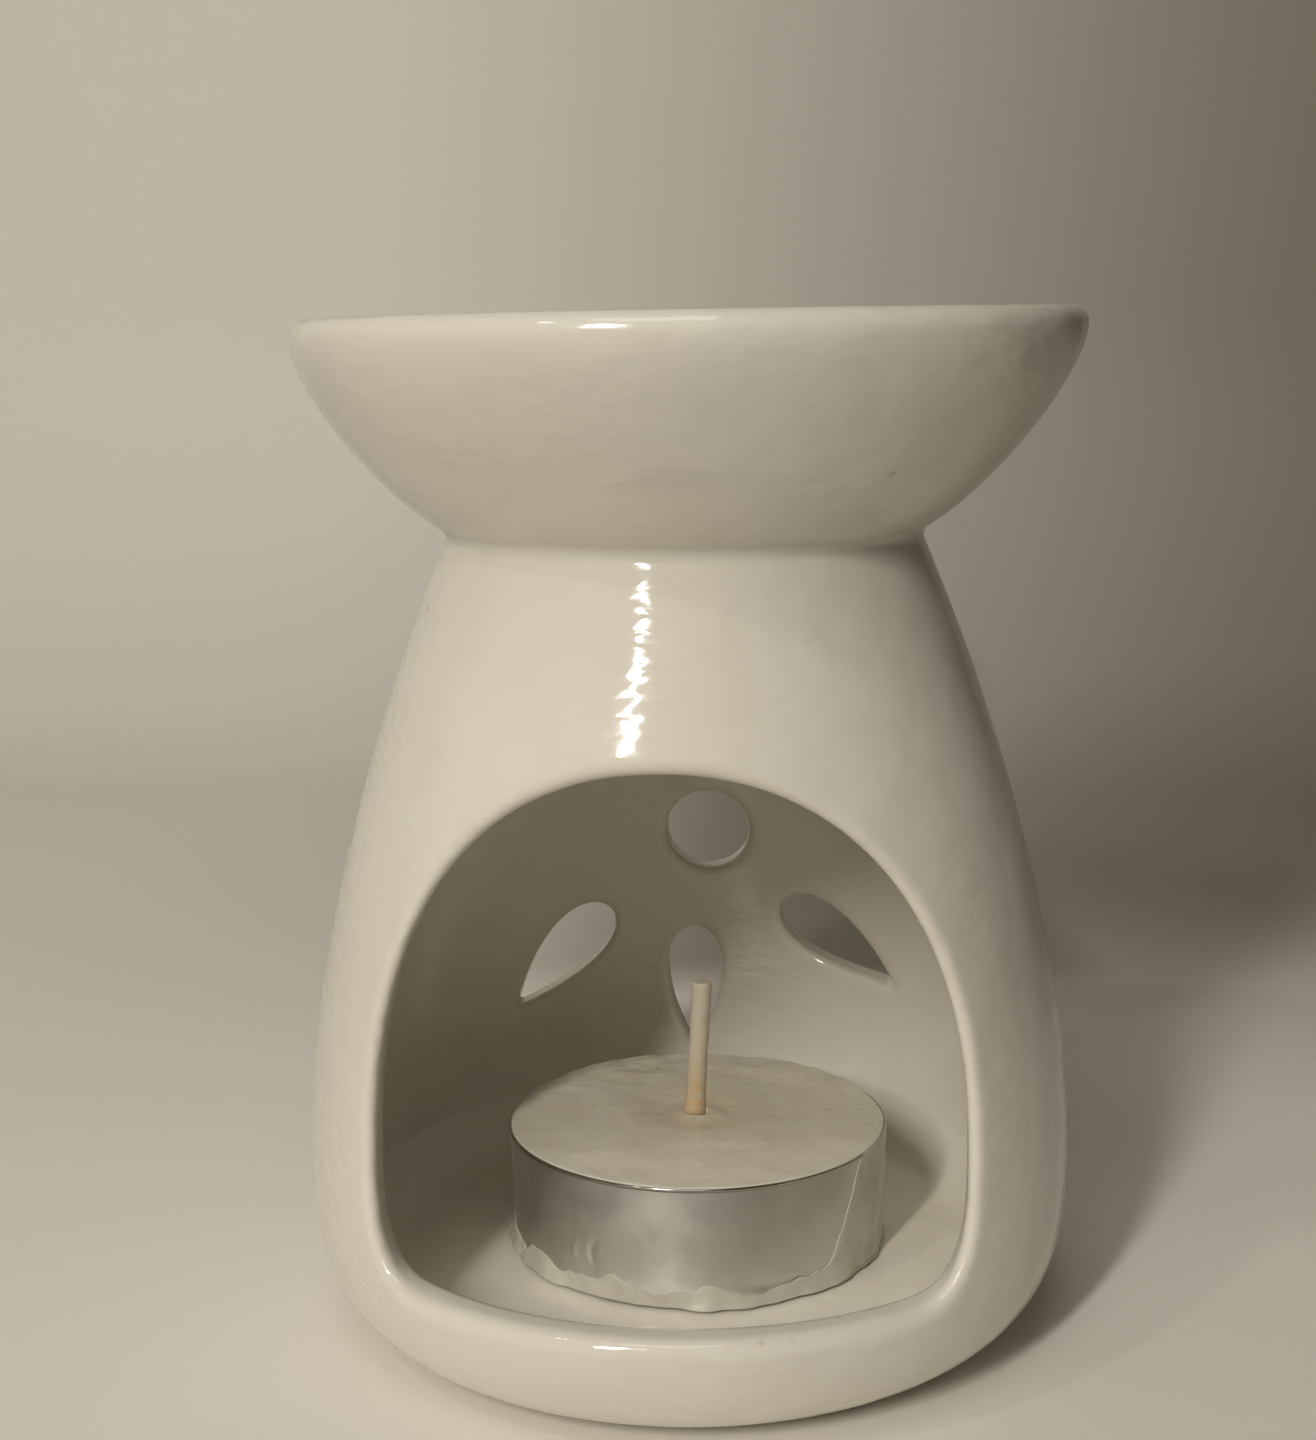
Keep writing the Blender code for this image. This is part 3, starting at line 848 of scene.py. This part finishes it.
def spill_section():
    """The spill's outside, down from its edge, and its inside, up in the cup's wall, at each angle."""
    angle = np.linspace(0, 2 * math.pi, CUP_COLUMNS, endpoint=False)
    turn = (angle + math.pi) % (2 * math.pi) - math.pi
    around = np.stack([np.sin(angle), np.cos(angle), 0 * angle], 1)
    skirt = np.clip(SKIRT_HEIGHT + SKIRT_UNEVEN * noise_at(around, 0.17, 3.0, 3), *SKIRT_LIMITS)
    side = spill_side(turn, around)
    top = skirt + (RIM_Z - skirt) * side
    height = top * np.concatenate([[1, 0.997], np.linspace(0.96, 0, SPILL_ROWS - 2)])[:, None]
    wall = CUP_BASE_RADIUS + (CUP_RADIUS - CUP_BASE_RADIUS) * height / CUP_HEIGHT
    thick = spill_thickness(height, top, side, around)
    thick[0] = -SPILL_TUCK
    outer = np.stack([wall + thick, height], -1)
    inner = np.stack([wall - 0.5 * CUP_SHEET - 0.7 * MM * np.exp(-height / (0.5 * MM)), height], -1)
    return np.concatenate([outer, inner[::-1]])


def make_spill(finish):
    """The thin coat of wax down one side of the cup, and the ragged skirt where it met the floor."""
    points, quads = lathe(spill_section(), CUP_COLUMNS, closed=True)
    spill = link("spilled_wax", closed_mesh("spilled_wax", points + (CUP_X, CUP_Y, CUP_LOW.z), quads))
    spill.data.materials.append(finish)
    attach(spill, "tealight")


def wax_profile():
    """The candle's section, with a flat top, and underneath the recess and bore for the wick's disc."""
    bottom = WAX_LOW.z - CUP_LOW.z
    recess_radius = (DISC_HIGH.x - DISC_LOW.x) / 2 + DISC_PLAY
    recess_top = bottom + 0.7 * MM
    collar_radius = 2.4 * MM
    collar_top = DISC_HIGH.z - CUP_LOW.z + DISC_PLAY
    lip = CUP_RADIUS - 2 * RIM_ROLL - 0.01 * MM
    base = CUP_BASE_RADIUS - 1.1 * MM
    return np.concatenate(
        [
            line((BORE_RADIUS, WAX_TOP), (lip - 0.12 * MM, WAX_TOP), 60),
            line((lip - 0.05 * MM, WAX_TOP - 0.01 * MM), (lip, WAX_TOP - 0.06 * MM), 3),
            line((lip, WAX_TOP - 0.5 * MM), (base, bottom + 1.6 * MM), 12),
            line((base - 1.2 * MM, bottom), (recess_radius, bottom), 6),
            line((recess_radius, recess_top), (collar_radius, recess_top), 5),
            line((collar_radius, collar_top), (BORE_RADIUS, collar_top), 2),
            line((BORE_RADIUS, collar_top + MM), (BORE_RADIUS, WAX_TOP - MM), 4),
        ]
    )


def poured(points):
    """The top as the wax set: low at the rim, lumpy at the back, dimpled round the wick and drawn up it."""
    x, y, z = points.T
    radius = np.hypot(x, y)
    top = smooth_step(z, CUP_HEIGHT - 0.9 * MM, CUP_HEIGHT - 0.4 * MM)
    across = np.stack([x, y, 0 * x], 1)
    swell = WAX_SWELL * np.cos(np.clip(radius / CUP_RADIUS, 0, 1) * math.pi / 2)
    back = smooth_step(y, 2 * MM, 15 * MM) * (0.55 + 0.6 * noise_at(across, 6 * MM, 4.0))
    rolling = 0.10 * MM * noise_at(across, 5 * MM, 1.0) + 0.035 * MM * noise_at(across, 1.8 * MM, 2.0)
    rolling += 0.16 * MM * smooth_step(y, 4 * MM, 14 * MM) * noise_at(across, 2.6 * MM, 8.0, 3)
    climb = 0.07 * MM * np.exp(-(((radius - 1.2 * MM) / (0.7 * MM)) ** 2))
    dimple = -0.15 * MM * np.exp(-(((radius - 3.2 * MM) / (1.5 * MM)) ** 2))
    rise = swell + WAX_LUMP * np.clip(back, 0, 1.2) + rolling + climb + dimple
    return points + np.stack([0 * x, 0 * x, top * rise], 1)


def make_wax(finish):
    points, quads = lathe(wax_profile(), WAX_COLUMNS, closed=True)
    points = poured(points) + (CUP_X, CUP_Y, CUP_LOW.z)
    wax = link("poured_wax", closed_mesh("poured_wax", points, quads))
    wax.data.materials.append(finish)
    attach(wax, "candle")
    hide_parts("candle_wax")


def wick_centres():
    """The middle of each ring of the wick: straight up through the candle, and then leaning."""
    low, surface, high = WICK_LOW.z + WICK_PLAY, WAX_HIGH.z, WICK_HIGH.z - WICK_PLAY
    height = np.linspace(low, high, WICK_ROWS)
    lean = np.clip((height - surface) / (high - surface), 0, 1)
    across = WICK_ROOT_X + (WICK_TIP_X - WICK_ROOT_X) * lean**1.15
    return np.stack([across, 0 * height + CUP_Y, height], 1)


def wick_rings():
    """The points of each ring, a little uneven and thicker where wax clings to the wick."""
    angle = np.linspace(0, 2 * math.pi, WICK_COLUMNS, endpoint=False)
    ring = np.stack([np.cos(angle), np.sin(angle), 0 * angle], 1)[None, :, :]
    centres = wick_centres()[:, None, :]
    flat = (centres + ring * WICK_RADIUS).reshape(-1, 3)
    swell = 0.99 + 0.05 * noise_at(flat, 2.2 * MM, 5.0) + 0.02 * noise_at(flat, 0.7 * MM, 6.0)
    clinging = 0.12 * np.exp(-(((flat[:, 2] - WAX_HIGH.z - 0.4 * MM) / (0.9 * MM)) ** 2))
    width = (swell + clinging).reshape(WICK_ROWS, WICK_COLUMNS, 1)
    return centres + ring * width * WICK_RADIUS


def wick_mesh():
    """The rings joined into a tube, with a slightly domed cap on both ends."""
    work = bmesh.new()
    rings = [[work.verts.new(point) for point in ring] for ring in wick_rings()]
    for below, above in zip(rings, rings[1:]):
        for i in range(WICK_COLUMNS):
            after = (i + 1) % WICK_COLUMNS
            work.faces.new((below[i], below[after], above[after], above[i]))
    ends = [work.faces.new(rings[0][::-1]), work.faces.new(rings[-1])]
    bmesh.ops.inset_individual(work, faces=ends, thickness=0.25 * MM, depth=0.08 * MM)
    mesh = bpy.data.meshes.new("waxed_wick")
    bmesh.ops.recalc_face_normals(work, faces=work.faces)
    work.to_mesh(mesh)
    work.free()
    mesh.shade_smooth()
    return mesh


def make_wick(finish):
    wick = link("waxed_wick", wick_mesh())
    wick.visible_shadow = False  # the real one's shadow doesn't show
    wick.data.materials.append(finish)
    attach(wick, "candle")
    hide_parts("wick")


def finish_sustainer(finish):
    """The wick's pressed disc is right as it is, and takes a better material."""
    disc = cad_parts["wick_sustainer"]
    disc.data.materials.clear()
    disc.data.materials.append(finish)


# ------------------------------------------------------------------ floor, light and camera


def sweep_material():
    """Pale paint, with painted shade in front of the pot, a painted shadow right behind it and painted shade
    towards the back right.

    The wall is painted dark at its far right, as painted shade."""
    paint = Shader("sweep_paint", Roughness=0.6)
    sides = paint.add("SeparateXYZ", values={0: paint.place()}).outputs
    x, y, z = sides["X"], sides["Y"], sides["Z"]
    # painted shade towards the back right, and in front of the pot, round a painted pool of light
    back_right = paint.product(paint.ramp(x, -0.13, 0.16), paint.ramp(y, 0.05, 0.17))
    in_front = paint.ramp(y, -0.15, -0.03, 1.0, 0.0)
    # painted shadow: a dark patch on the floor right behind the pot
    behind = paint.product(paint.ramp(x, -0.06, 0.0), paint.ramp(y, 0.09, 0.12))
    behind = paint.product(behind, paint.ramp(x, 0.03, 0.08, 1.0, 0.0), paint.ramp(z, 0.01, 0.06, 1.0, 0.0))
    dim = paint.math("MAXIMUM", paint.math("MAXIMUM", back_right, in_front), behind)
    # painted shade: the wall is painted dark at its far right
    far_right = paint.product(paint.ramp(x, 0.18, 0.22), paint.ramp(z, 0.02, 0.05))
    tone = paint.mix(far_right, paint.mix(dim, FLOOR_PALE, FLOOR_PAINTED_SHADE), WALL_PAINTED_SHADE)
    paint.set(paint.surface, {"Base Color": tone})
    return paint.material


def make_backdrop():
    """A floor that sweeps up into a wall a little way behind the pot."""
    front, back, bend, top, half_width, bend_steps = -5.0, 0.34, 0.10, 3.0, 5.0, 12
    across = [(front, 0.0), (back - bend, 0.0)]
    for i in range(1, bend_steps):
        angle = math.pi / 2 * i / bend_steps
        across.append((back - bend + bend * math.sin(angle), bend - bend * math.cos(angle)))
    across += [(back, bend), (back, top)]
    points = [(x, y, z) for x in (-half_width, half_width) for y, z in across]
    count = len(across)
    quads = [(i, i + count, i + count + 1, i + 1) for i in range(count - 1)]
    sweep = link("sweep", mesh_of("sweep", points, quads))
    sweep.data.materials.append(sweep_material())


def area_light(name, azimuth, elevation, distance, size, power, roll=0):
    """A rectangle of light aimed at the pot, with azimuth 0 in front of it and negative to its left."""
    data = bpy.data.lights.new(name, "AREA")
    data.shape = "RECTANGLE"
    data.size, data.size_y = size
    data.energy = power
    data.color = LAMP_COLOUR
    lamp = bpy.data.objects.new(name, data)
    bpy.context.scene.collection.objects.link(lamp)
    a, e = math.radians(azimuth), math.radians(elevation)
    away = Vector((math.sin(a) * math.cos(e), -math.cos(a) * math.cos(e), math.sin(e)))
    target = Vector((0, 0, DISH_HIGH.z / 2))
    lamp.location = target + away * distance
    facing = away.to_track_quat("Z", "Y").to_matrix() @ Matrix.Rotation(math.radians(-roll), 3, "Z")
    lamp.rotation_euler = facing.to_euler()


def make_lights():
    """A narrow lamp and a small one that show as highlights, and three broad soft ones."""
    area_light("lamp", -18.5, 28, 0.8, (0.035, 0.24), 3.1, roll=10)
    area_light("second_lamp", -43, 50, 0.8, (0.035, 0.03), 0.35)
    area_light("lamp_glow", -14, 28, 0.9, (1.0, 0.8), 0.6)
    area_light("ceiling_lamp", -8, 62, 0.8, (0.3, 0.3), 0.8)
    area_light("left_fill", -75, 20, 0.8, (0.7, 0.7), 0.08)


def make_room():
    """Dim light from all round, which is stronger from the left than from the right."""
    from_left, from_right = 0.12, 0.01
    world = bpy.data.worlds.new("room")
    bpy.context.scene.world = world
    world.use_nodes = True
    tree = world.node_tree
    ground = tree.nodes["Background"]
    ground.inputs["Color"].default_value = (*ROOM_COLOUR, 1)
    toward = tree.nodes.new("ShaderNodeTexCoord").outputs["Generated"]
    sides = tree.nodes.new("ShaderNodeSeparateXYZ")
    strength = tree.nodes.new("ShaderNodeMapRange")
    strength.inputs["From Min"].default_value = -0.7
    strength.inputs["From Max"].default_value = 0.7
    strength.inputs["To Min"].default_value = from_left
    strength.inputs["To Max"].default_value = from_right
    tree.links.new(toward, sides.inputs[0])
    tree.links.new(sides.outputs["X"], strength.inputs["Value"])
    tree.links.new(strength.outputs[0], ground.inputs["Strength"])


def make_camera():
    """A phone held just in front of the pot, level with its rim and looking a little down."""
    data = bpy.data.cameras.new("camera")
    data.lens = 55.0
    data.sensor_width = 36.0
    data.clip_start = 0.01
    camera = bpy.data.objects.new("camera", data)
    bpy.context.scene.collection.objects.link(camera)
    place = (0.01571, -0.20898, 0.09712)
    heading, tilt, roll = math.radians(5.04), math.radians(79.71), math.radians(-0.57)
    turn = Matrix.Rotation(heading, 4, "Z") @ Matrix.Rotation(tilt, 4, "X") @ Matrix.Rotation(roll, 4, "Z")
    camera.matrix_world = Matrix.Translation(place) @ turn
    bpy.context.scene.camera = camera


def main():
    make_camera()
    make_backdrop()
    make_lights()
    make_room()
    bpy.context.scene.view_settings.view_transform = "Standard"
    make_ceramics(glaze_material())
    make_cup(aluminium_material())
    make_wax(wax_material("set_wax", 0.4, WAX_DARK, WAX_PALE))
    make_spill(wax_material("thin_wax", 0.0, THIN_WAX_DARK, THIN_WAX_PALE))
    make_wick(wick_material())
    finish_sustainer(tinned_material())


main()
